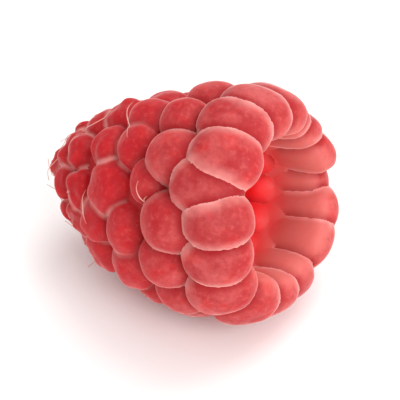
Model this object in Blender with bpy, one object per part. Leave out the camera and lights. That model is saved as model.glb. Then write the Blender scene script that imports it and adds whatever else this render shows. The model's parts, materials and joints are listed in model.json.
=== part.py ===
"""A picked raspberry, lying on its side with its hollow open towards +X.

The berry is one piece. Rings of drupelets grew together around a core, and the core stayed on the
plant when the berry was picked, so the hollow is open at the wide end. The berry is modelled
standing on its tip, +Z from the tip to the opening, and is then laid down on its lowest drupelets.
"""

import math
import random
from collections import namedtuple

import bmesh
import bpy
from mathutils import Matrix, Vector

MM = 0.001

# The wall: the surface halfway through the flesh, a blunt cone turned about the berry's axis.
WALL_LENGTH = 16.9 * MM  # from the tip to the widest ring
WALL_RADIUS = 7.55 * MM
WALL_BLUNTNESS = 1.42  # 2 would make half an ellipse, and less makes the tip more pointed

# The lining: the flesh behind the creases, where the drupelets have grown together.
LINING_OUTSIDE = 0.7 * MM
LINING_INSIDE_RIM = 1.5 * MM
LINING_INSIDE_TIP = 2.1 * MM
LINING_THINS_FROM = 50.0  # degrees along the wall from the tip
LINING_END = 94.0
LINING_STEPS = 9
LINING_SIDES = 24
MERGE_DISTANCE = 0.01 * MM

# Each ring of drupelets, from the rim to the tip. The slope is the angle along the wall, from 0 at
# the tip through 90 at the widest ring, and the lean tips a drupelet's top towards the tip.
Ring = namedtuple("Ring", "count slope first_turn width length lean height")
RINGS = (
    Ring(17, 98.0, 85.0, 4.2, 5.0, -12.0, 2.55),
    Ring(14, 74.0, 113.0, 4.3, 4.6, 0.0, 2.65),
    Ring(14, 58.0, 109.0, 3.9, 3.5, 4.0, 2.4),
    Ring(12, 46.0, 118.0, 3.6, 3.2, 6.0, 2.15),
    Ring(11, 35.0, 116.0, 3.2, 2.8, 8.0, 1.95),
    Ring(9, 24.5, 90.0, 2.9, 2.5, 8.0, 1.75),
    Ring(6, 14.0, 110.0, 2.6, 2.3, 6.0, 1.55),
    Ring(1, 1.5, 90.0, 2.3, 2.3, 0.0, 1.5),
)
RIM_SLANT = 2.5  # degrees that the rim reaches further on one side
RIM_SLANT_TURN = 60.0

# Drupelets that grew out of line: degrees round and along the wall, then growth and rise.
Nudge = namedtuple("Nudge", "turn slope growth rise")
NUDGES = {
    (0, 0): Nudge(8, -1, 1.12, 1.0),
    (0, 1): Nudge(9, -2, 1.0, 0.95),
    (0, 2): Nudge(7, -2, 1.0, 0.95),
    (0, 3): Nudge(4, 2, 1.05, 1.0),
    (0, 4): Nudge(2, 2, 1.05, 1.0),
    (0, 5): Nudge(0, 1, 1.05, 1.0),
    (0, 6): Nudge(0, 4, 1.05, 1.06),
    (0, 7): Nudge(-4, -1, 1.04, 0.98),
    (0, 8): Nudge(-8, 6, 1.0, 1.03),
    (0, 9): Nudge(-7, 4, 1.0, 0.97),
    (0, 10): Nudge(-5, 0, 1.0, 1.0),
    (0, 11): Nudge(0, 1, 1.0, 1.0),
    (0, 14): Nudge(8, 0, 1.12, 1.0),
    (0, 15): Nudge(9, 0, 0.98, 1.0),
    (0, 16): Nudge(5, -5, 0.88, 0.95),
    (1, 3): Nudge(0, -2, 0.85, 0.95),
    (1, 4): Nudge(0, 0.5, 0.98, 1.0),
    (1, 5): Nudge(9, 3, 1.02, 1.05),
    (1, 6): Nudge(8, -1, 0.95, 0.97),
    (1, 7): Nudge(8, 0, 0.95, 0.97),
    (2, 5): Nudge(-6, 9, 0.85, 0.95),
    (3, 4): Nudge(0, 5, 1.12, 1.0),
}

# How far a drupelet strays from its place in the ring: degrees, or a share of its size.
SEED = 3
STRAY = Nudge(1.8, 1.2, 0.05, 0.05)
STRAY_LEAN = 3.0
STRAY_TWIST = 8.0
WILDER_RINGS = 0.3  # how much wilder each ring is than the one before it

# The drupelets lie over each other like scales: each one's edge on this side covers the next.
OVERLAP = 0.16  # rise as a share of the distance from the drupelet's middle
OVERLAP_SIDE = Vector((0.6, 0.65, -0.45)).normalized()  # the berry's own axis is +Z

# Where the berry grew fuller or flatter than a round one: height up the axis in mm, degrees round
# it, and the share of the radius that it gains.
Swell = namedtuple("Swell", "height turn share")
SWELLS = (
    Swell(18.5, 122.0, -0.13),
    Swell(8.0, 316.0, 0.12),
    Swell(8.0, 140.0, -0.09),
    Swell(16.0, 145.0, 0.03),
)
SWELL_HEIGHT = 5.0 * MM
SWELL_TURN = math.radians(32.0)

# A drupelet's form: an egg with its big end outwards and a slightly squared outline.
FOOTPRINT = 0.575  # half-width as a share of the drupelet's size, so that neighbours overlap
SQUARENESS = 2.2
TAPER = 0.22
ROOT_BULGE = 0.35 * MM  # how far its inner end stands out of the lining, into the hollow
BALL_SEGMENTS = 12
BALL_RINGS = 8

# How it lies: the opening looks up a little, because the tip is narrower than the rim.
REST_TILT = 12.5
PRESSED_FLAT = 0.35 * MM  # the height that the lowest drupelets lose where they touch
KEPT_TRIANGLES = 0.5  # of the joined solid's, after which it still has every drupelet

SKIN_COLOUR = (0.62, 0.035, 0.04, 1.0)
SKIN_ROUGHNESS = 0.5

Drupelet = namedtuple("Drupelet", "frame half_length half_width height root")


def clear_scene():
    for old in list(bpy.data.objects):
        bpy.data.objects.remove(old)


def new_collection(name):
    collection = bpy.data.collections.new(name)
    bpy.context.scene.collection.children.link(collection)
    return collection


def wall_point(slope):
    """Distance up the axis and radius of the wall at a slope in radians."""
    drop = math.copysign(abs(math.cos(slope)) ** (2 / WALL_BLUNTNESS), math.cos(slope))
    return Vector((WALL_RADIUS * math.sin(slope), WALL_LENGTH * (1 - drop)))


def wall_direction(slope):
    """Unit direction along the wall at a slope, away from the tip, as radius and height."""
    step = math.radians(0.05)
    return (wall_point(slope + step) - wall_point(slope - step)).normalized()


def drupelet_frame(slope, turn, lean, twist):
    """Matrix at the wall: X towards the tip, Y around the berry and Z outwards."""
    radius, height = wall_point(slope)
    along = wall_direction(slope)
    upright = Matrix((
        (-along.x, 0.0, along.y, radius),
        (0.0, 1.0, 0.0, 0.0),
        (-along.y, 0.0, -along.x, height),
        (0.0, 0.0, 0.0, 1.0),
    ))
    return (Matrix.Rotation(turn, 4, "Z") @ upright
            @ Matrix.Rotation(lean, 4, "Y") @ Matrix.Rotation(twist, 4, "Z"))


def overlap(frame):
    """Shear that raises one edge of a drupelet over its neighbour and lowers the other edge."""
    shear = Matrix.Identity(4)
    shear[2][0] = OVERLAP * OVERLAP_SIDE.dot(frame.col[0].to_3d())
    shear[2][1] = OVERLAP * OVERLAP_SIDE.dot(frame.col[1].to_3d())
    return shear


def place_drupelets():
    chance = random.Random(SEED)
    drupelets = []
    for ring_number, ring in enumerate(RINGS):
        wildness = 1 + WILDER_RINGS * ring_number
        for number in range(ring.count):
            stray = [wildness * chance.uniform(-1, 1) for _ in range(6)]
            strayed = Nudge(stray[0] * STRAY.turn, stray[1] * STRAY.slope,
                            1 + stray[2] * STRAY.growth, 1 + stray[3] * STRAY.rise)
            nudge = NUDGES.get((ring_number, number), strayed)
            turn = math.radians(ring.first_turn + 360 * number / ring.count + nudge.turn)
            slope = ring.slope + nudge.slope
            if ring_number == 0:
                slope += RIM_SLANT * math.cos(turn - math.radians(RIM_SLANT_TURN))
            lean = math.radians(ring.lean + stray[4] * STRAY_LEAN)
            twist = math.radians(stray[5] * STRAY_TWIST)
            frame = drupelet_frame(math.radians(slope), turn, lean, twist)
            drupelets.append(Drupelet(
                frame=frame @ overlap(frame),
                half_length=FOOTPRINT * ring.length * nudge.growth * MM,
                half_width=FOOTPRINT * ring.width * nudge.growth * MM,
                height=ring.height * nudge.rise * MM,
                root=lining_inside(slope) + ROOT_BULGE,
            ))
    return drupelets


def swollen(point):
    """Where uneven growth has a point: further from the axis or nearer to it."""
    turn = math.atan2(point.y, point.x)
    share = 1.0
    for swell in SWELLS:
        up = (point.z - swell.height * MM) / SWELL_HEIGHT
        apart = (turn - math.radians(swell.turn) + math.pi) % math.tau - math.pi
        share += swell.share * math.exp(-(up ** 2 + (apart / SWELL_TURN) ** 2) / 2)
    return Vector((share * point.x, share * point.y, point.z))


def egg_point(drupelet, point):
    """Where a point of the unit ball goes on a drupelet."""
    round_reach = math.hypot(point.x, point.y)
    square_reach = (abs(point.x) ** SQUARENESS + abs(point.y) ** SQUARENESS) ** (1 / SQUARENESS)
    spread = (1 + TAPER * point.z) * (round_reach / square_reach if square_reach > 0 else 1)
    rise = drupelet.height if point.z > 0 else drupelet.root
    return Vector((drupelet.half_length * spread * point.x,
                   drupelet.half_width * spread * point.y,
                   rise * point.z))


def make_egg(name, drupelet, collection):
    shape = bmesh.new()
    bmesh.ops.create_uvsphere(shape, u_segments=BALL_SEGMENTS, v_segments=BALL_RINGS, radius=1)
    for vertex in shape.verts:
        vertex.co = swollen(drupelet.frame @ egg_point(drupelet, vertex.co))
    mesh = bpy.data.meshes.new(name)
    shape.to_mesh(mesh)
    shape.free()
    egg = bpy.data.objects.new(name, mesh)
    egg.display_type = "WIRE"
    egg.hide_render = True
    collection.objects.link(egg)
    return egg


def offset_from_wall(slope, offset):
    """Point beside the wall, outwards where the offset is positive, as X and Z of a profile."""
    along = wall_direction(slope)
    point = wall_point(slope) + offset * Vector((along.y, -along.x))
    return Vector((max(point.x, 0), 0, point.y))


def lining_inside(slope_degrees):
    """Depth of the lining inside the wall: thick at the tip and thinner towards the rim."""
    share = (slope_degrees - LINING_THINS_FROM) / (LINING_END - LINING_THINS_FROM)
    return LINING_INSIDE_TIP + (LINING_INSIDE_RIM - LINING_INSIDE_TIP) * min(max(share, 0), 1)


def lining_profile():
    """The lining's outline in the XZ plane, from the axis outside, over its end and back inside."""
    slopes = [LINING_END * step / LINING_STEPS for step in range(1, LINING_STEPS + 1)]
    outside = [offset_from_wall(math.radians(slope), LINING_OUTSIDE) for slope in slopes]
    inside = [offset_from_wall(math.radians(slope), -lining_inside(slope)) for slope in slopes]
    off_axis = [point for point in inside if point.x > 0]
    outside_tip = Vector((0, 0, -LINING_OUTSIDE))
    inside_tip = Vector((0, 0, LINING_INSIDE_TIP))
    return [outside_tip, *outside, *reversed(off_axis), inside_tip]


def make_lining(name, collection):
    """The closed lining: its outline turned about the axis."""
    shape = bmesh.new()
    corners = [shape.verts.new(point) for point in lining_profile()]
    sides = [shape.edges.new(pair) for pair in zip(corners[:-1], corners[1:])]
    bmesh.ops.spin(shape, geom=corners + sides, cent=(0, 0, 0), axis=(0, 0, 1),
                   angle=math.tau, steps=LINING_SIDES, use_merge=True)
    bmesh.ops.remove_doubles(shape, verts=shape.verts, dist=MERGE_DISTANCE)
    bmesh.ops.recalc_face_normals(shape, faces=shape.faces)
    for vertex in shape.verts:
        vertex.co = swollen(vertex.co)
    mesh = bpy.data.meshes.new(name)
    shape.to_mesh(mesh)
    shape.free()
    lining = bpy.data.objects.new(name, mesh)
    collection.objects.link(lining)
    return lining


def skin_material():
    material = bpy.data.materials.new("raspberry_skin")
    material.use_nodes = True
    shader = material.node_tree.nodes["Principled BSDF"]
    shader.inputs["Base Color"].default_value = SKIN_COLOUR
    shader.inputs["Roughness"].default_value = SKIN_ROUGHNESS
    shader.inputs["Metallic"].default_value = 0.0
    return material


def world_box(piece):
    """Lowest and highest corners of an object as it is evaluated, in world space."""
    graph = bpy.context.evaluated_depsgraph_get()
    evaluated = piece.evaluated_get(graph)
    mesh = evaluated.to_mesh()
    points = [piece.matrix_world @ vertex.co for vertex in mesh.vertices]
    low = Vector([min(point[axis] for point in points) for axis in range(3)])
    high = Vector([max(point[axis] for point in points) for axis in range(3)])
    evaluated.to_mesh_clear()
    return low, high


def join_with(berry, collection):
    union = berry.modifiers.new("grown_together", "BOOLEAN")
    union.operation = "UNION"
    union.operand_type = "COLLECTION"
    union.collection = collection
    union.solver = "EXACT"


def simplify(berry):
    decimate = berry.modifiers.new("fewer_facets", "DECIMATE")
    decimate.ratio = KEPT_TRIANGLES


def press_flat(berry, collection):
    """Take off what would reach below the surface that the berry lies on."""
    size = 4 * WALL_LENGTH
    bpy.ops.mesh.primitive_cube_add(size=size, location=(0, 0, -size / 2))
    surface = bpy.context.object
    surface.name = "resting_surface"
    for other in list(surface.users_collection):
        other.objects.unlink(surface)
    collection.objects.link(surface)
    surface.display_type = "WIRE"
    surface.hide_render = True
    cut = berry.modifiers.new("pressed_flat", "BOOLEAN")
    cut.operation = "DIFFERENCE"
    cut.object = surface
    cut.solver = "EXACT"


def main():
    clear_scene()
    parts = new_collection("raspberry")
    cutters = new_collection("cutters")
    eggs = new_collection("drupelets")

    pose = bpy.data.objects.new("resting_pose", None)
    parts.objects.link(pose)
    berry = make_lining("raspberry", parts)
    berry.parent = pose
    for number, drupelet in enumerate(place_drupelets()):
        egg = make_egg(f"drupelet_{number + 1:02d}", drupelet, eggs)
        egg.parent = pose
    berry.data.materials.append(skin_material())
    join_with(berry, eggs)
    simplify(berry)

    pose.rotation_euler = (0, math.radians(90 - REST_TILT), 0)
    bpy.context.view_layer.update()
    low, high = world_box(berry)
    pose.location = (-(low.x + high.x) / 2, -(low.y + high.y) / 2, -low.z - PRESSED_FLAT)
    bpy.context.view_layer.update()
    press_flat(berry, cutters)


main()
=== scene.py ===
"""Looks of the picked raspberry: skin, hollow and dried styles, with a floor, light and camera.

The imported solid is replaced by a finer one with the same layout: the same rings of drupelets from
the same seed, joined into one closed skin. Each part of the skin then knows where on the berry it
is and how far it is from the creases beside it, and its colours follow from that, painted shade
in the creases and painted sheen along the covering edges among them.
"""

import json
import math
import random
from collections import namedtuple

import bmesh
import bpy
import numpy as np
from mathutils import Matrix, Vector
from mathutils.bvhtree import BVHTree

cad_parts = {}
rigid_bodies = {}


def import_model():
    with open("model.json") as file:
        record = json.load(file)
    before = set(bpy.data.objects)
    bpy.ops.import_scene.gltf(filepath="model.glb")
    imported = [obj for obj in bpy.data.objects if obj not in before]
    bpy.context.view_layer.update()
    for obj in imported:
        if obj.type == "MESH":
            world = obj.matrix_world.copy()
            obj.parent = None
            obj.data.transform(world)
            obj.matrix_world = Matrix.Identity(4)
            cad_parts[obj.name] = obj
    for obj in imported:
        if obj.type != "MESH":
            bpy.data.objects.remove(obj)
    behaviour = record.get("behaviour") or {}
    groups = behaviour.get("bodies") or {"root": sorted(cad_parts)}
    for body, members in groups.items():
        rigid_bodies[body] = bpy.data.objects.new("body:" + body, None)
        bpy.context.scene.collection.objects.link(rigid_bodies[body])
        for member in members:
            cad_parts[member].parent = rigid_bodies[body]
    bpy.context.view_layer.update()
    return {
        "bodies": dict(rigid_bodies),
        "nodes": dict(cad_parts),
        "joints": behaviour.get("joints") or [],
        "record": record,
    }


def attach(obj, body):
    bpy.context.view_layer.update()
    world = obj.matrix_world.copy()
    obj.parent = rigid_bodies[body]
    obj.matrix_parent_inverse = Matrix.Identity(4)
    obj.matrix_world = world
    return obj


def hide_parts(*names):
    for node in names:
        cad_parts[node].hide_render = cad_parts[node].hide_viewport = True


MM = 0.001

# The layout, from here to the finer details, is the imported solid's, apart from the footprint.
# The wall is the surface halfway through the flesh, and the lining joins the drupelets along it.
WALL_LENGTH = 16.9 * MM  # from the tip to the widest ring
WALL_RADIUS = 7.55 * MM
WALL_BLUNTNESS = 1.42  # 2 would make half an ellipse, and less makes the tip more pointed
LINING_OUTSIDE = 0.7 * MM
LINING_INSIDE_RIM = 1.5 * MM
LINING_INSIDE_TIP = 2.1 * MM
LINING_THINS_FROM = 50.0  # degrees along the wall from the tip
LINING_END = 94.0

# Each ring of drupelets, from the rim to the tip. The slope is the angle along the wall, from 0 at
# the tip through 90 at the widest ring, and the lean tips a drupelet's top towards the tip.
Ring = namedtuple("Ring", "count slope first_turn width length lean height")
RINGS = (
    Ring(17, 98.0, 85.0, 4.2, 5.0, -12.0, 2.55),
    Ring(14, 74.0, 113.0, 4.3, 4.6, 0.0, 2.65),
    Ring(14, 58.0, 109.0, 3.9, 3.5, 4.0, 2.4),
    Ring(12, 46.0, 118.0, 3.6, 3.2, 6.0, 2.15),
    Ring(11, 35.0, 116.0, 3.2, 2.8, 8.0, 1.95),
    Ring(9, 24.5, 90.0, 2.9, 2.5, 8.0, 1.75),
    Ring(6, 14.0, 110.0, 2.6, 2.3, 6.0, 1.55),
    Ring(1, 1.5, 90.0, 2.3, 2.3, 0.0, 1.5),
)
RIM_SLANT = 2.5  # degrees that the rim reaches further on one side
RIM_SLANT_TURN = 60.0

# Drupelets that grew out of line: degrees round and along the wall, then growth and rise.
Nudge = namedtuple("Nudge", "turn slope growth rise")
NUDGES = {
    (0, 0): Nudge(8, -1, 1.12, 1.0),
    (0, 1): Nudge(9, -2, 1.0, 0.95),
    (0, 2): Nudge(7, -2, 1.0, 0.95),
    (0, 3): Nudge(4, 2, 1.05, 1.0),
    (0, 4): Nudge(2, 2, 1.05, 1.0),
    (0, 5): Nudge(0, 1, 1.05, 1.0),
    (0, 6): Nudge(0, 4, 1.05, 1.06),
    (0, 7): Nudge(-4, -1, 1.04, 0.98),
    (0, 8): Nudge(-8, 6, 1.0, 1.03),
    (0, 9): Nudge(-7, 4, 1.0, 0.97),
    (0, 10): Nudge(-5, 0, 1.0, 1.0),
    (0, 11): Nudge(0, 1, 1.0, 1.0),
    (0, 14): Nudge(8, 0, 1.12, 1.0),
    (0, 15): Nudge(9, 0, 0.98, 1.0),
    (0, 16): Nudge(5, -5, 0.88, 0.95),
    (1, 3): Nudge(0, -2, 0.85, 0.95),
    (1, 4): Nudge(0, 0.5, 0.98, 1.0),
    (1, 5): Nudge(9, 3, 1.02, 1.05),
    (1, 6): Nudge(8, -1, 0.95, 0.97),
    (1, 7): Nudge(8, 0, 0.95, 0.97),
    (2, 5): Nudge(-6, 9, 0.85, 0.95),
    (3, 4): Nudge(0, 5, 1.12, 1.0),
}

# Where the berry grew fuller or flatter than a round one: height up the axis in mm, degrees round
# it, and the share of the radius that it gains.
Swell = namedtuple("Swell", "height turn share")
SWELLS = (
    Swell(18.5, 122.0, -0.13),
    Swell(8.0, 316.0, 0.12),
    Swell(8.0, 140.0, -0.09),
    Swell(16.0, 145.0, 0.03),
)
SWELL_HEIGHT = 5.0 * MM
SWELL_TURN = math.radians(32.0)

# How far a drupelet strays from its place in the ring: degrees, or a share of its size.
SEED = 3
STRAY = Nudge(1.8, 1.2, 0.05, 0.05)
STRAY_LEAN = 3.0
STRAY_TWIST = 8.0
WILDER_RINGS = 0.3  # how much wilder each ring is than the one before it

# The drupelets lie over each other like scales: each one's edge on this side covers the next.
OVERLAP = 0.16  # rise as a share of the distance from the drupelet's middle
# The painted sheen goes on the covering edges on this side, and the painted shade on the covered
# ones.
OVERLAP_SIDE = Vector((0.6, 0.65, -0.45)).normalized()  # in the berry's frame, +Z along its axis

# A drupelet's form: an egg with its big end outwards and a slightly squared outline.
FOOTPRINT = 0.56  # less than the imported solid's, whose flat facets lie inside the true outline
SQUARENESS = 2.2
TAPER = 0.22
ROOT_BULGE = 0.35 * MM  # how far its inner end stands out of the lining, into the hollow
REST_TILT = 12.5  # degrees that the opening looks up as the berry lies
PRESSED_FLAT = 0.35 * MM  # the height that the lowest drupelets lose where they touch

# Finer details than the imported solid's: how many sides, and what each drupelet has of its own.
BALL_SEGMENTS = 46
BALL_RINGS = 30
LINING_STEPS = 24
LINING_SIDES = 96
LINING = -1  # the owner of the lining's faces
MERGE_DISTANCE = 0.01 * MM
CROWN_FLATNESS = 0.97  # below 1 the crown is flatter and its shoulders are rounder
LUMPS_SEED = 11
LUMP_SIZES = ((0.012, 2.4), (0.006, 5.0), (0.005, 10.0))  # share of its size, waves across it
LUMPS_OF_EACH_SIZE = 3
WRINKLES = (1.0, 1.2, 2.0, 4.0, 5.5, 7.0, 8.0, 8.0)  # by ring: the tip's skin is more crumpled
ROOT_REACH = {0: 3.4 * MM}  # by ring: these go on this far inside the hollow, as ridges
ROOT_TILT = 0.27  # how much deeper a ridge gets, as a share of its reach
ROOT_SWELL = {1: 0.4 * MM, 2: 0.4 * MM}  # by ring: these bulge into the hollow this much more
SCAR_DEPTH = 0.10 * MM  # the dimple where a style was attached
SCAR_WIDTH = 0.20  # share of the drupelet
SCAR_STRAY = 0.35
SMOOTHING_ROUNDS = 26
SMOOTHING_OUTSIDE = 0.04  # share of the way to the middle of a point's neighbours, each round
SMOOTHING_HOLLOW = 0.16
SHARP_ANGLE = 40.0  # degrees between two faces from which their edge is shown as a crease
HOLLOW_STARTS = -1.3 * MM  # how far inside the wall the hollow's own colour starts and is full
HOLLOW_FULL = 1.6 * MM
DEEP_STARTS = -1.4 * MM  # how far below the widest ring its deeper red starts and is full
DEEP_FULL = 2.3 * MM
HOLLOW_SMOOTH_FROM = 0.8 * MM  # how far inside the wall the skin starts to be evened out more
HOLLOW_SMOOTH_FULL = 2.2 * MM
# The painted crease shade and painted sheen fade out over this distance from a crease.
CREASE_REACH = 1.2 * MM  # past this distance a crease makes no difference

Drupelet = namedtuple("Drupelet", "ring frame half_length half_width height root")

# Dried styles: thin threads, mostly around the tip.
STYLES_SEED = 5
STYLE_CHANCE = (0.0, 0.1, 0.5, 0.7, 0.85, 1.0, 1.0, 1.0)  # by ring, from the rim to the tip
STYLE_LENGTH = (2.0 * MM, 4.4 * MM)
STYLE_RADIUS = 0.05 * MM
STYLE_TAPER = 0.55  # share of the radius that the free end has lost
STYLE_STEPS = 16
STYLE_SIDES = 6
STYLE_SWAY = 1.5  # how far a thread may start off sideways, as a share of its way to the tip
STYLE_CURL = 8.0  # degrees a step at most, and half as much again at random
STYLE_LIFT = (0.05 * MM, 0.8 * MM)  # how far the free end stands off the skin

# Camera, light and floor. A turn is in degrees from -Y towards +X, and a height in degrees.
CAMERA_TURN = 29.0
CAMERA_HEIGHT = 40.0
CAMERA_DISTANCE = 0.160
VIEW_WIDTH = 0.0330
AIM = Vector((0.0013, 0.0005, 0.0080))  # the point at the middle of the view
SENSOR_WIDTH = 36.0
CLIP_START = 0.001
CLIP_END = 20.0
FLOOR_SIZE = 2.0
WORLD_STRENGTH = 0.82
Lamp = namedtuple("Lamp", "name turn height size power colour")
LAMPS = (
    Lamp("key", 165.0, 62.0, 0.35, 1.0, (1.0, 0.99, 0.97)),
    Lamp("fill", 64.0, 32.0, 0.3, 1.5, (1.0, 1.0, 1.0)),
)
LAMP_DISTANCE = 0.5


def wall_point(slope):
    """Radius and height of the wall at a slope in radians."""
    drop = math.copysign(abs(math.cos(slope)) ** (2 / WALL_BLUNTNESS), math.cos(slope))
    return Vector((WALL_RADIUS * math.sin(slope), WALL_LENGTH * (1 - drop)))


def wall_direction(slope):
    """Unit direction along the wall at a slope, away from the tip, as radius and height."""
    step = math.radians(0.05)
    return (wall_point(slope + step) - wall_point(slope - step)).normalized()


def wall_radius(height):
    """Radius of the wall at each height above the tip."""
    share = np.abs(1 - height / WALL_LENGTH) ** WALL_BLUNTNESS
    return WALL_RADIUS * np.sqrt(np.clip(1 - share, 0, 1))


def drupelet_frame(slope, turn, lean, twist):
    """Matrix at the wall: X towards the tip, Y around the berry and Z outwards."""
    radius, height = wall_point(slope)
    along = wall_direction(slope)
    upright = Matrix((
        (-along.x, 0.0, along.y, radius),
        (0.0, 1.0, 0.0, 0.0),
        (-along.y, 0.0, -along.x, height),
        (0.0, 0.0, 0.0, 1.0),
    ))
    return (Matrix.Rotation(turn, 4, "Z") @ upright
            @ Matrix.Rotation(lean, 4, "Y") @ Matrix.Rotation(twist, 4, "Z"))


def overlap(frame):
    """Shear that raises one edge of a drupelet over its neighbour and lowers the other edge."""
    shear = Matrix.Identity(4)
    shear[2][0] = OVERLAP * OVERLAP_SIDE.dot(frame.col[0].to_3d())
    shear[2][1] = OVERLAP * OVERLAP_SIDE.dot(frame.col[1].to_3d())
    return shear


def place_drupelets():
    chance = random.Random(SEED)
    drupelets = []
    for ring_number, ring in enumerate(RINGS):
        wildness = 1 + WILDER_RINGS * ring_number
        for number in range(ring.count):
            stray = [wildness * chance.uniform(-1, 1) for _ in range(6)]
            strayed = Nudge(stray[0] * STRAY.turn, stray[1] * STRAY.slope,
                            1 + stray[2] * STRAY.growth, 1 + stray[3] * STRAY.rise)
            nudge = NUDGES.get((ring_number, number), strayed)
            turn = math.radians(ring.first_turn + 360 * number / ring.count + nudge.turn)
            slope = ring.slope + nudge.slope
            if ring_number == 0:
                slope += RIM_SLANT * math.cos(turn - math.radians(RIM_SLANT_TURN))
            lean = math.radians(ring.lean + stray[4] * STRAY_LEAN)
            twist = math.radians(stray[5] * STRAY_TWIST)
            frame = drupelet_frame(math.radians(slope), turn, lean, twist)
            drupelets.append(Drupelet(
                ring=ring_number,
                frame=frame @ overlap(frame),
                half_length=FOOTPRINT * ring.length * nudge.growth * MM,
                half_width=FOOTPRINT * ring.width * nudge.growth * MM,
                height=ring.height * nudge.rise * MM,
                root=lining_inside(slope) + ROOT_BULGE,
            ))
    return drupelets


def swollen(points):
    """The points where uneven growth has them, further from the axis or nearer to it."""
    turns = np.arctan2(points[:, 1], points[:, 0])
    share = np.ones(len(points))
    for swell in SWELLS:
        up = (points[:, 2] - swell.height * MM) / SWELL_HEIGHT
        apart = (turns - math.radians(swell.turn) + math.pi) % math.tau - math.pi
        share += swell.share * np.exp(-(up ** 2 + (apart / SWELL_TURN) ** 2) / 2)
    return points * np.stack([share, share, np.ones(len(points))], axis=1)


def unit_ball():
    """A ball mesh to copy for each drupelet, and its points."""
    shape = bmesh.new()
    bmesh.ops.create_uvsphere(shape, u_segments=BALL_SEGMENTS, v_segments=BALL_RINGS, radius=1)
    mesh = bpy.data.meshes.new("unit_ball")
    shape.to_mesh(mesh)
    shape.free()
    return mesh, read_points(mesh)


def read_numbers(items, name, width, kind):
    """One number, or a row of numbers, for each item of a mesh."""
    flat = np.empty(len(items) * width, dtype=kind)
    items.foreach_get(name, flat)
    return flat.reshape(-1, width) if width > 1 else flat


def read_points(mesh):
    return read_numbers(mesh.vertices, "co", 3, float)


def write_points(mesh, points):
    mesh.vertices.foreach_set("co", points.ravel())
    mesh.update()


def moved(matrix, points):
    """The points where a matrix takes them."""
    grid = np.array(matrix)
    return points @ grid[:3, :3].T + grid[:3, 3]


def lumps(ball, chance):
    """Slight swellings and dents of one drupelet, as a share of its size."""
    total = np.zeros(len(ball))
    for size, waves in LUMP_SIZES:
        for _ in range(LUMPS_OF_EACH_SIZE):
            across = np.array([chance.gauss(0, 1) for _ in range(3)])
            across /= np.linalg.norm(across)
            total += size * np.sin(waves * (ball @ across) + chance.uniform(0, math.tau))
    return total


def scar(ball, chance):
    """Depth of the dimple where the style was attached."""
    middle = [chance.uniform(-SCAR_STRAY, SCAR_STRAY) for _ in range(2)]
    away = (ball[:, 0] - middle[0]) ** 2 + (ball[:, 1] - middle[1]) ** 2
    return SCAR_DEPTH * np.exp(-away / (2 * SCAR_WIDTH ** 2)) * (ball[:, 2] > 0)


def squared_reach(x, y):
    """Distance from the middle, measured so that a slightly squared outline is all at 1."""
    return (np.abs(x) ** SQUARENESS + np.abs(y) ** SQUARENESS) ** (1 / SQUARENESS)


def egg_points(drupelet, ball, chance):
    """The unit ball's points where one drupelet has them, in the berry's own frame."""
    x, y, z = ball.T
    squared = np.hypot(x, y) / np.maximum(squared_reach(x, y), 1e-9)
    wrinkles = WRINKLES[drupelet.ring]
    spread = (1 + TAPER * z) * squared * (1 + wrinkles * lumps(ball, chance))
    root = drupelet.root + ROOT_SWELL.get(drupelet.ring, 0)
    rise = np.sign(z) * np.abs(z) ** CROWN_FLATNESS * np.where(z > 0, drupelet.height, root)
    slide = ROOT_REACH.get(drupelet.ring, 0) * np.clip(-z, 0, 1) * np.clip(1 + x, 0, 1)
    shape = np.stack([
        drupelet.half_length * spread * x + slide,
        drupelet.half_width * spread * y,
        rise * (1 + wrinkles * lumps(ball, chance)) - scar(ball, chance) - ROOT_TILT * slide,
    ], axis=1)
    return moved(drupelet.frame, shape)


def mark_owner(mesh, owner):
    """Number the faces, so that they are still known after the drupelets have grown together."""
    numbers = mesh.attributes.new("owner", "INT", "FACE")
    numbers.data.foreach_set("value", np.full(len(mesh.polygons), owner, dtype=np.int32))


def make_eggs(drupelets, collection):
    chance = random.Random(LUMPS_SEED)
    ball, points = unit_ball()
    for index, drupelet in enumerate(drupelets):
        mesh = ball.copy()
        write_points(mesh, egg_points(drupelet, points, chance))
        mark_owner(mesh, index)
        collection.objects.link(bpy.data.objects.new("egg", mesh))


def offset_from_wall(slope, offset):
    """Point beside the wall, outwards where the offset is positive, as X and Z of a profile."""
    along = wall_direction(slope)
    point = wall_point(slope) + offset * Vector((along.y, -along.x))
    return Vector((max(point.x, 0), 0, point.y))


def lining_inside(slope_degrees):
    """Depth of the lining inside the wall: thick at the tip and thinner towards the rim."""
    share = (slope_degrees - LINING_THINS_FROM) / (LINING_END - LINING_THINS_FROM)
    return LINING_INSIDE_TIP + (LINING_INSIDE_RIM - LINING_INSIDE_TIP) * min(max(share, 0), 1)


def lining_profile():
    """The lining's outline in the XZ plane, from the axis outside, over its end and back inside."""
    slopes = [LINING_END * step / LINING_STEPS for step in range(1, LINING_STEPS + 1)]
    outside = [offset_from_wall(math.radians(slope), LINING_OUTSIDE) for slope in slopes]
    inside = [offset_from_wall(math.radians(slope), -lining_inside(slope)) for slope in slopes]
    off_axis = [point for point in inside if point.x > 0]
    outside_tip = Vector((0, 0, -LINING_OUTSIDE))
    inside_tip = Vector((0, 0, LINING_INSIDE_TIP))
    return [outside_tip, *outside, *reversed(off_axis), inside_tip]


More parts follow.
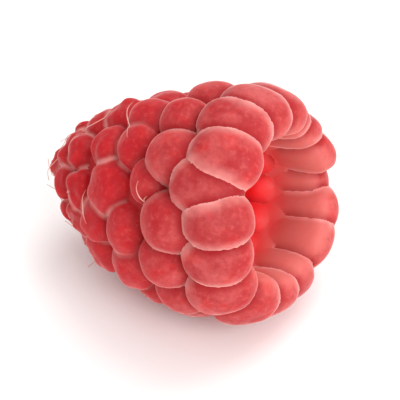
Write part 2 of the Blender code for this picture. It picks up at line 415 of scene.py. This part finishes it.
def make_lining():
    """The closed lining: its outline turned about the axis."""
    shape = bmesh.new()
    corners = [shape.verts.new(point) for point in lining_profile()]
    sides = [shape.edges.new(pair) for pair in zip(corners[:-1], corners[1:])]
    bmesh.ops.spin(shape, geom=corners + sides, cent=(0, 0, 0), axis=(0, 0, 1),
                   angle=math.tau, steps=LINING_SIDES, use_merge=True)
    bmesh.ops.remove_doubles(shape, verts=shape.verts, dist=MERGE_DISTANCE)
    bmesh.ops.recalc_face_normals(shape, faces=shape.faces)
    mesh = bpy.data.meshes.new("lining")
    shape.to_mesh(mesh)
    shape.free()
    mark_owner(mesh, LINING)
    lining = bpy.data.objects.new("lining", mesh)
    bpy.context.scene.collection.objects.link(lining)
    return lining


def cut_up(mesh):
    """Cut faces of more than four corners into triangles, so that no two cuts fall together."""
    shape = bmesh.new()
    shape.from_mesh(mesh)
    in_mid_edge = [vertex for vertex in shape.verts if len(vertex.link_edges) == 2]
    bmesh.ops.dissolve_verts(shape, verts=in_mid_edge)
    bmesh.ops.triangulate(shape, faces=[face for face in shape.faces if len(face.verts) > 4])
    shape.to_mesh(mesh)
    shape.free()


def grow_together(drupelets):
    """One closed mesh of the lining and all the drupelets, in the berry's own frame."""
    eggs = bpy.data.collections.new("eggs")
    bpy.context.scene.collection.children.link(eggs)
    make_eggs(drupelets, eggs)
    lining = make_lining()
    union = lining.modifiers.new("grown_together", "BOOLEAN")
    union.operation = "UNION"
    union.operand_type = "COLLECTION"
    union.collection = eggs
    union.solver = "MANIFOLD"
    graph = bpy.context.evaluated_depsgraph_get()
    mesh = bpy.data.meshes.new_from_object(lining.evaluated_get(graph))
    for helper in [lining, *eggs.objects]:
        bpy.data.objects.remove(helper)
    bpy.data.collections.remove(eggs)
    cut_up(mesh)
    return mesh


def dome_height(drupelet, points):
    """How high each point is on the drupelet: 0 at its widest and 1 at its crown."""
    z = moved(drupelet.frame.inverted(), points)[:, 2]
    return np.clip(z / drupelet.height, 0, 1)


def between(low, high, values):
    """Smooth step from 0 at low to 1 at high."""
    share = np.clip((values - low) / (high - low), 0, 1)
    return share * share * (3 - 2 * share)


def describe_points(points):
    """What the colour depends on besides the drupelets: each point's place on the whole berry."""
    inside = wall_radius(points[:, 2]) - np.hypot(points[:, 0], points[:, 1])
    return {
        "tip": 1 - np.clip(points[:, 2] / WALL_LENGTH, 0, 1),
        "hollow": between(HOLLOW_STARTS, HOLLOW_FULL, inside),
        "deep": between(DEEP_STARTS, DEEP_FULL, WALL_LENGTH - points[:, 2]),
        "smooth": between(HOLLOW_SMOOTH_FROM, HOLLOW_SMOOTH_FULL, inside),
    }


def distance_to(points, marks):
    """Distance of each point to the nearest mark, as a share of the reach of a crease."""
    if len(marks) == 0:
        return np.ones(len(points))
    apart = np.linalg.norm(points[:, None] - marks[None], axis=2).min(axis=1)
    return np.minimum(apart / CREASE_REACH, 1)


def describe_corners(mesh, points, drupelets):
    """What the colour depends on within a drupelet, for each corner of each of its faces.

    "over" and "under" are the distances to a crease where the drupelet covers its neighbour and
    where its neighbour covers it.
    """
    corners = read_numbers(mesh.loops, "vertex_index", 1, int)
    sizes = read_numbers(mesh.polygons, "loop_total", 1, int)
    owner = np.repeat(read_numbers(mesh.attributes["owner"].data, "value", 1, int), sizes)
    ranks = np.array([-OVERLAP_SIDE.dot(drupelet.frame.translation) for drupelet in drupelets])
    covered = np.full(len(points), np.inf)
    covering = np.full(len(points), -np.inf)
    on_skin = owner != LINING
    np.minimum.at(covered, corners[on_skin], ranks[owner[on_skin]])
    np.maximum.at(covering, corners[on_skin], ranks[owner[on_skin]])
    facts = {name: np.ones(len(corners)) for name in ("over", "under", "dome", "tint")}
    for index, drupelet in enumerate(drupelets):
        own = owner == index
        used, place = np.unique(corners[own], return_inverse=True)
        below = points[used[covered[used] < ranks[index]]]
        above = points[used[covering[used] > ranks[index]]]
        facts["over"][own] = distance_to(points[used], below)[place]
        facts["under"][own] = distance_to(points[used], above)[place]
        facts["dome"][own] = dome_height(drupelet, points[used])[place]
        facts["tint"][own] = random.Random(index).random()
    return facts


def soften(mesh, points, smooth):
    """Even out the skin: a little outside, and more in the hollow."""
    edges = read_numbers(mesh.edges, "vertices", 2, int)
    first, second = edges.T
    count = np.bincount(edges.ravel(), minlength=len(points))[:, None]
    weight = (SMOOTHING_OUTSIDE + (SMOOTHING_HOLLOW - SMOOTHING_OUTSIDE) * smooth)[:, None]
    for _ in range(SMOOTHING_ROUNDS):
        total = np.stack([
            np.bincount(first, points[second, axis], len(points))
            + np.bincount(second, points[first, axis], len(points))
            for axis in range(3)
        ], axis=1)
        points = points + weight * (total / count - points)
    return points


def add_attribute(mesh, name, domain, values):
    attribute = mesh.attributes.new(name, "FLOAT", domain)
    attribute.data.foreach_set("value", values.astype(np.float32))


def resting_pose(points):
    """Matrix that lays the berry on its side on the floor, with its box centred on the origin."""
    laid = Matrix.Rotation(math.radians(90 - REST_TILT), 4, "Y")
    turned = moved(laid, points)
    low = turned.min(axis=0)
    high = turned.max(axis=0)
    middle = (low + high) / 2
    return Matrix.Translation((-middle[0], -middle[1], -low[2] - PRESSED_FLAT)) @ laid


def make_berry(drupelets):
    mesh = grow_together(drupelets)
    mesh.name = "raspberry_skin"
    points = read_points(mesh)
    facts = describe_points(points)
    corner_facts = describe_corners(mesh, points, drupelets)
    points = soften(mesh, points, facts.pop("smooth"))
    points = swollen(points)
    pose = resting_pose(points)
    points = moved(pose, points)
    points[:, 2] = np.maximum(points[:, 2], 0)
    write_points(mesh, points)
    for name, values in facts.items():
        add_attribute(mesh, name, "POINT", values)
    for name, values in corner_facts.items():
        add_attribute(mesh, name, "CORNER", values)
    mesh.shade_smooth()
    mesh.set_sharp_from_angle(angle=math.radians(SHARP_ANGLE))
    mesh.materials.clear()
    mesh.materials.append(skin_material())
    berry = bpy.data.objects.new("raspberry_skin", mesh)
    bpy.context.scene.collection.objects.link(berry)
    return berry, pose


# Materials.

def srgb(red, green, blue):
    """A colour as seen on screen, 0 to 255, as Blender's linear values."""
    def linear(value):
        share = value / 255
        return share / 12.92 if share <= 0.04045 else ((share + 0.055) / 1.055) ** 2.4
    return (linear(red), linear(green), linear(blue), 1.0)


class Nodes:
    """Short names for the node calls that the materials repeat."""

    def __init__(self, material):
        material.use_nodes = True
        self.tree = material.node_tree
        self.shader = self.tree.nodes["Principled BSDF"]

    def attribute(self, name):
        node = self.tree.nodes.new("ShaderNodeAttribute")
        node.attribute_name = name
        return node.outputs["Fac"]

    def noise(self, scale, detail=2.0, roughness=0.5):
        place = self.tree.nodes.new("ShaderNodeTexCoord")
        node = self.tree.nodes.new("ShaderNodeTexNoise")
        node.inputs["Scale"].default_value = scale
        node.inputs["Detail"].default_value = detail
        node.inputs["Roughness"].default_value = roughness
        self.tree.links.new(place.outputs["Object"], node.inputs["Vector"])
        return node.outputs["Fac"]

    def span(self, value, low, high, to_low=0.0, to_high=1.0):
        node = self.tree.nodes.new("ShaderNodeMapRange")
        node.interpolation_type = "SMOOTHSTEP"
        self.tree.links.new(value, node.inputs["Value"])
        node.inputs["From Min"].default_value = low
        node.inputs["From Max"].default_value = high
        node.inputs["To Min"].default_value = to_low
        node.inputs["To Max"].default_value = to_high
        return node.outputs["Result"]

    def math(self, operation, first, second):
        node = self.tree.nodes.new("ShaderNodeMath")
        node.operation = operation
        for socket, value in zip(node.inputs, (first, second)):
            if isinstance(value, (int, float)):
                socket.default_value = value
            else:
                self.tree.links.new(value, socket)
        return node.outputs["Value"]

    def product(self, first, second):
        return self.math("MULTIPLY", first, second)

    def mix(self, share, first, second):
        node = self.tree.nodes.new("ShaderNodeMix")
        node.data_type = "RGBA"
        colour_sockets = (node.inputs[0], node.inputs[6], node.inputs[7])
        for socket, value in zip(colour_sockets, (share, first, second)):
            if isinstance(value, (int, float, tuple)):
                socket.default_value = value
            else:
                self.tree.links.new(value, socket)
        return node.outputs[2]

    def bump(self, height, distance, normal=None):
        node = self.tree.nodes.new("ShaderNodeBump")
        node.inputs["Strength"].default_value = 1.0
        node.inputs["Distance"].default_value = distance
        self.tree.links.new(height, node.inputs["Height"])
        if normal:
            self.tree.links.new(normal, node.inputs["Normal"])
        return node.outputs["Normal"]

    def link(self, output, name):
        self.tree.links.new(output, self.shader.inputs[name])

    def set(self, name, value):
        self.shader.inputs[name].default_value = value


RIM_COLOUR = srgb(172, 45, 48)
MIDDLE_COLOUR = srgb(184, 16, 28)
TIP_COLOUR = srgb(176, 4, 20)
# Painted shade: deep red laid into the creases where a drupelet is covered.
PAINTED_CREASE_SHADE_COLOUR = srgb(160, 4, 16)
# Painted sheen: pale pink laid along the edges of drupelets that cover others.
PAINTED_SHEEN_EDGE_COLOUR = srgb(234, 160, 154)
# Pale down on the crowns, partly painted highlight; the pale specks use it too.
PALE_DOWN_AND_PAINTED_HIGHLIGHT_COLOUR = srgb(214, 108, 106)
SPECK_COLOUR = srgb(150, 12, 26)
BLOTCH_COLOUR = srgb(214, 24, 24)
# The hollow's own red, brightened as painted light for the glow through the thin wall.
HOLLOW_RED_AND_PAINTED_GLOW_COLOUR = srgb(240, 45, 50)
INNER_RIM_COLOUR = srgb(212, 116, 110)
SHEEN_COLOUR = (1.0, 0.62, 0.58, 1.0)
STYLE_ROOT_COLOUR = srgb(214, 92, 92)
STYLE_MIDDLE_COLOUR = srgb(240, 190, 176)
STYLE_END_COLOUR = srgb(190, 130, 96)
STYLE_STAIN_COLOUR = srgb(226, 120, 112)
FLOOR_COLOUR = srgb(250, 249, 248)
FLOOR_PATCH_COLOUR = srgb(254, 253, 252)

# How strong each layer of the skin's colour is.
TINT_SHARE = 0.35
HOLLOW_SHARE = 0.9
# Strength of the crowns' pale bloom, partly painted highlight, from the rim to the tip.
BLOOM_AND_PAINTED_HIGHLIGHT_AT_RIM = 0.5
BLOOM_AND_PAINTED_HIGHLIGHT_AT_TIP = 0.1
BLOTCH_SHARE = 0.3
PALE_SPECK_SHARE = 0.28
DARK_SPECK_SHARE = 0.35
# Strength of the painted crease shade, and how much of it is left in the hollow.
PAINTED_CREASE_SHADE_SHARE = 0.9
PAINTED_CREASE_SHADE_IN_HOLLOW = 0.5
# Strength of the painted sheen: the wide margins near the rim and round the crumpled drupelets at
# the tip.
PAINTED_SHEEN_MARGIN_SHARE = 0.7
PAINTED_SHEEN_CRUMPLED_SHARE = 0.72

# How fine each pattern is, as the scale of its noise: a higher number is finer.
BLOOM_AND_PAINTED_HIGHLIGHT_SCALE = 420
BLOTCH_SCALE = 650
BROKEN_SCALE = 700
GLOSS_SCALE = 900
DENT_SCALE = 1500
SPECK_SCALE = 2300
STYLE_STAIN_SCALE = 2400
STYLE_GLOSS_SCALE = 3000
GRAIN_SCALE = 5200
FLOOR_PATCH_SCALE = 3
FLOOR_GLOSS_SCALE = 8

DENT_DEPTH = 0.07 * MM
GRAIN_DEPTH = 0.015 * MM
SKIN_FACTS = ("over", "under", "tip", "hollow", "deep", "tint", "dome")


def ground_colour(nodes, facts):
    """The colour from the rim to the tip, a little different on each drupelet, and the hollow's,
    whose red is brightened deeper in as painted light for the glow through the thin wall.
    """
    colour = nodes.mix(nodes.span(facts["tip"], 0.0, 0.45), RIM_COLOUR, MIDDLE_COLOUR)
    colour = nodes.mix(nodes.span(facts["tip"], 0.4, 0.9), colour, TIP_COLOUR)
    deeper = nodes.product(nodes.span(facts["tint"], 0.0, 1.0), TINT_SHARE)
    colour = nodes.mix(deeper, colour, TIP_COLOUR)
    inside = nodes.mix(facts["deep"], INNER_RIM_COLOUR, HOLLOW_RED_AND_PAINTED_GLOW_COLOUR)
    return nodes.mix(nodes.product(facts["hollow"], HOLLOW_SHARE), colour, inside)


def mottled(nodes, facts, colour):
    """Pale bloom on the crowns, partly the down's own paleness and partly painted highlight, more
    near the rim; then bright blotches and fine specks on the outside.
    """
    # Partly painted highlight: the crowns paler, most near the rim.
    crown = nodes.span(facts["dome"], 0.3, 1.0)
    bloom_and_painted_highlight = nodes.product(nodes.span(nodes.noise(BLOOM_AND_PAINTED_HIGHLIGHT_SCALE, detail=3), 0.35, 0.7), crown)
    fading = nodes.span(facts["tip"], 0.05, 0.5, BLOOM_AND_PAINTED_HIGHLIGHT_AT_RIM, BLOOM_AND_PAINTED_HIGHLIGHT_AT_TIP)
    colour = nodes.mix(nodes.product(bloom_and_painted_highlight, fading), colour, PALE_DOWN_AND_PAINTED_HIGHLIGHT_COLOUR)

    blotches = nodes.span(nodes.noise(BLOTCH_SCALE, detail=3), 0.52, 0.7, 0.0, BLOTCH_SHARE)
    colour = nodes.mix(nodes.product(blotches, facts["outside"]), colour, BLOTCH_COLOUR)

    specks = nodes.noise(SPECK_SCALE, detail=4, roughness=0.65)
    pale = nodes.product(nodes.span(specks, 0.5, 0.7, 0.0, PALE_SPECK_SHARE), facts["outside"])
    pale = nodes.product(pale, nodes.span(facts["tip"], 0.1, 0.6, 1.0, 0.5))
    colour = nodes.mix(pale, colour, PALE_DOWN_AND_PAINTED_HIGHLIGHT_COLOUR)
    dark = nodes.product(nodes.span(specks, 0.5, 0.3, 0.0, DARK_SPECK_SHARE), facts["outside"])
    return nodes.mix(dark, colour, SPECK_COLOUR)


def painted_crease_shade_and_sheen(nodes, facts, colour):
    """Painted shade: deep red where a drupelet is covered; and painted sheen: a pale edge on the
    one that covers it.
    """
    # Painted shade: deep red in the creases where a drupelet is covered, less in the hollow.
    shallow = nodes.span(facts["hollow"], 0.95, 0.5, PAINTED_CREASE_SHADE_IN_HOLLOW, 1.0)
    shade = nodes.product(nodes.span(facts["under"], 0.75, 0.0, 0.0, PAINTED_CREASE_SHADE_SHARE), shallow)
    colour = nodes.mix(shade, colour, PAINTED_CREASE_SHADE_COLOUR)

    # Painted sheen: pale edges on the drupelets that cover others, wider near the rim and round the
    # crumpled drupelets at the tip.
    at_mouth = nodes.span(facts["deep"], 0.8, 0.2)
    thin_painted_sheen = nodes.product(nodes.span(facts["over"], 0.5, 0.0), at_mouth)
    at_rim = nodes.span(facts["tip"], 0.35, 0.1)
    painted_sheen_margin = nodes.product(nodes.span(facts["over"], 1.0, 0.0, 0.0, PAINTED_SHEEN_MARGIN_SHARE), at_rim)
    at_tip = nodes.span(facts["tip"], 0.28, 0.6)
    nearest = nodes.math("MINIMUM", facts["over"], facts["under"])
    crumpled = nodes.product(nodes.span(nearest, 0.38, 0.02, 0.0, PAINTED_SHEEN_CRUMPLED_SHARE), at_tip)
    soft_painted_sheen = nodes.product(nodes.math("MAXIMUM", painted_sheen_margin, crumpled), facts["outside"])
    edge = nodes.math("MAXIMUM", thin_painted_sheen, soft_painted_sheen)
    broken = nodes.span(nodes.noise(BROKEN_SCALE, detail=2), 0.35, 0.6, 0.6, 0.95)
    return nodes.mix(nodes.product(edge, broken), colour, PAINTED_SHEEN_EDGE_COLOUR)


def skin_material():
    material = bpy.data.materials.new("raspberry_skin")
    nodes = Nodes(material)
    facts = {name: nodes.attribute(name) for name in SKIN_FACTS}
    facts["outside"] = nodes.span(facts["hollow"], 0.95, 0.5)
    colour = mottled(nodes, facts, ground_colour(nodes, facts))
    nodes.link(painted_crease_shade_and_sheen(nodes, facts, colour), "Base Color")

    nodes.link(nodes.span(nodes.noise(GLOSS_SCALE, detail=4), 0.3, 0.7, 0.42, 0.6), "Roughness")
    grain = nodes.bump(nodes.noise(GRAIN_SCALE, detail=2), GRAIN_DEPTH)
    dents = nodes.bump(nodes.noise(DENT_SCALE, detail=3), DENT_DEPTH, normal=grain)
    nodes.link(dents, "Normal")
    nodes.set("Subsurface Weight", 0.75)
    nodes.set("Subsurface Radius", (2.2, 0.28, 0.18))
    nodes.set("Subsurface Scale", 1.0 * MM)
    nodes.set("Sheen Weight", 0.9)
    nodes.set("Sheen Roughness", 0.24)
    nodes.set("Sheen Tint", SHEEN_COLOUR)
    nodes.set("IOR", 1.4)
    nodes.set("Specular IOR Level", 0.35)
    return material


def style_material():
    material = bpy.data.materials.new("dried_style")
    nodes = Nodes(material)
    along = nodes.attribute("along")
    colour = nodes.mix(nodes.span(along, 0.0, 0.55), STYLE_ROOT_COLOUR, STYLE_MIDDLE_COLOUR)
    colour = nodes.mix(nodes.span(along, 0.8, 1.0), colour, STYLE_END_COLOUR)
    stain = nodes.span(nodes.noise(STYLE_STAIN_SCALE), 0.35, 0.7, 0.0, 0.3)
    nodes.link(nodes.mix(stain, colour, STYLE_STAIN_COLOUR), "Base Color")
    nodes.link(nodes.span(nodes.noise(STYLE_GLOSS_SCALE), 0.3, 0.7, 0.45, 0.6), "Roughness")
    nodes.set("Subsurface Weight", 0.2)
    nodes.set("Subsurface Scale", 0.2 * MM)
    return material


def floor_material():
    material = bpy.data.materials.new("pale_floor")
    nodes = Nodes(material)
    colour = nodes.mix(nodes.noise(FLOOR_PATCH_SCALE), FLOOR_COLOUR, FLOOR_PATCH_COLOUR)
    nodes.link(colour, "Base Color")
    nodes.link(nodes.span(nodes.noise(FLOOR_GLOSS_SCALE), 0.3, 0.7, 0.55, 0.65), "Roughness")
    return material


# Styles.

def style_path(surface, start, heading, length, lift, chance):
    """Points of one thread that leaves the skin slowly and curls as it goes."""
    step = length / STYLE_STEPS
    curl = chance.uniform(-STYLE_CURL, STYLE_CURL)
    points = []
    place = start
    for number in range(STYLE_STEPS + 1):
        nearest, normal, _, _ = surface.find_nearest(place)
        off = lift * (number / STYLE_STEPS) ** 2
        point = nearest + normal * off
        point.z = max(point.z, STYLE_RADIUS)
        points.append(point)
        heading = (heading - heading.dot(normal) * normal).normalized()
        turn = math.radians(curl + chance.uniform(-STYLE_CURL, STYLE_CURL) / 2)
        heading = Matrix.Rotation(turn, 3, normal) @ heading
        place = nearest + heading * step
    return points


def add_tube(shape, along, points):
    """One tapered thread as a closed tube."""
    loops = []
    side = Vector((0, 0, 1))
    for number, point in enumerate(points):
        before = points[max(number - 1, 0)]
        after = points[min(number + 1, len(points) - 1)]
        forward = (after - before).normalized()
        side = side - side.dot(forward) * forward
        side = side.normalized() if side.length > 1e-6 else forward.orthogonal().normalized()
        other = forward.cross(side)
        share = number / (len(points) - 1)
        radius = STYLE_RADIUS * (1 - STYLE_TAPER * share)
        loop = []
        for corner in range(STYLE_SIDES):
            angle = math.tau * corner / STYLE_SIDES
            outwards = math.cos(angle) * side + math.sin(angle) * other
            vertex = shape.verts.new(point + radius * outwards)
            vertex[along] = share
            loop.append(vertex)
        loops.append(loop)
    for first, second in zip(loops[:-1], loops[1:]):
        for corner in range(STYLE_SIDES):
            following = (corner + 1) % STYLE_SIDES
            shape.faces.new((first[corner], first[following], second[following], second[corner]))
    shape.faces.new(reversed(loops[0]))
    shape.faces.new(loops[-1])


def make_styles(drupelets, berry, pose):
    chance = random.Random(STYLES_SEED)
    surface = BVHTree.FromPolygons([vertex.co for vertex in berry.data.vertices],
                                   [face.vertices for face in berry.data.polygons])
    shape = bmesh.new()
    along = shape.verts.layers.float.new("along")
    for drupelet in drupelets:
        if chance.random() > STYLE_CHANCE[drupelet.ring]:
            continue
        frame = pose @ drupelet.frame
        crown = frame @ Vector((0, 0, drupelet.height))
        sideways = chance.uniform(-STYLE_SWAY, STYLE_SWAY)
        heading = (frame.to_3x3() @ Vector((1, sideways, 0))).normalized()
        points = style_path(surface, crown, heading, chance.uniform(*STYLE_LENGTH),
                            chance.uniform(*STYLE_LIFT), chance)
        add_tube(shape, along, points)
    mesh = bpy.data.meshes.new("dried_styles")
    shape.to_mesh(mesh)
    shape.free()
    mesh.shade_smooth()
    mesh.materials.append(style_material())
    styles = bpy.data.objects.new("dried_styles", mesh)
    bpy.context.scene.collection.objects.link(styles)
    return styles


# Stage.

def make_floor():
    shape = bmesh.new()
    bmesh.ops.create_grid(shape, x_segments=1, y_segments=1, size=FLOOR_SIZE / 2)
    mesh = bpy.data.meshes.new("floor")
    shape.to_mesh(mesh)
    shape.free()
    mesh.materials.append(floor_material())
    floor = bpy.data.objects.new("floor", mesh)
    bpy.context.scene.collection.objects.link(floor)
    return floor


def direction(turn, height):
    """Unit vector from the berry towards something seen at a turn and a height in degrees."""
    turn, height = math.radians(turn), math.radians(height)
    level = Vector((math.sin(turn), -math.cos(turn), 0))
    return math.cos(height) * level + Vector((0, 0, math.sin(height)))


def add_lamp(lamp):
    """A square lamp that faces the berry."""
    light = bpy.data.lights.new(lamp.name, "AREA")
    light.size = lamp.size
    light.energy = lamp.power
    light.color = lamp.colour
    holder = bpy.data.objects.new(lamp.name, light)
    holder.location = direction(lamp.turn, lamp.height) * LAMP_DISTANCE
    holder.rotation_euler = holder.location.to_track_quat("Z", "Y").to_euler()
    bpy.context.scene.collection.objects.link(holder)


def add_world():
    world = bpy.data.worlds.new("soft_room")
    bpy.context.scene.world = world
    world.use_nodes = True
    background = world.node_tree.nodes["Background"]
    background.inputs["Color"].default_value = (1.0, 1.0, 1.0, 1.0)
    background.inputs["Strength"].default_value = WORLD_STRENGTH
    bpy.context.scene.view_settings.view_transform = "Standard"


def add_camera():
    camera = bpy.data.cameras.new("camera")
    camera.sensor_width = SENSOR_WIDTH
    camera.lens = SENSOR_WIDTH * CAMERA_DISTANCE / VIEW_WIDTH
    camera.clip_start = CLIP_START
    camera.clip_end = CLIP_END
    eye = bpy.data.objects.new("camera", camera)
    back = direction(CAMERA_TURN, CAMERA_HEIGHT)
    eye.location = AIM + back * CAMERA_DISTANCE
    eye.rotation_euler = back.to_track_quat("Z", "Y").to_euler()
    bpy.context.scene.collection.objects.link(eye)
    bpy.context.scene.camera = eye


def corners(box):
    """A box's two corners as lists of plain numbers."""
    return [[float(value) for value in corner] for corner in box]


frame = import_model()

drupelets = place_drupelets()
berry, pose = make_berry(drupelets)
styles = make_styles(drupelets, berry, pose)
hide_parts("raspberry")
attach(berry, "root")
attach(styles, "root")

floor = make_floor()
add_world()
for lamp in LAMPS:
    add_lamp(lamp)
add_camera()
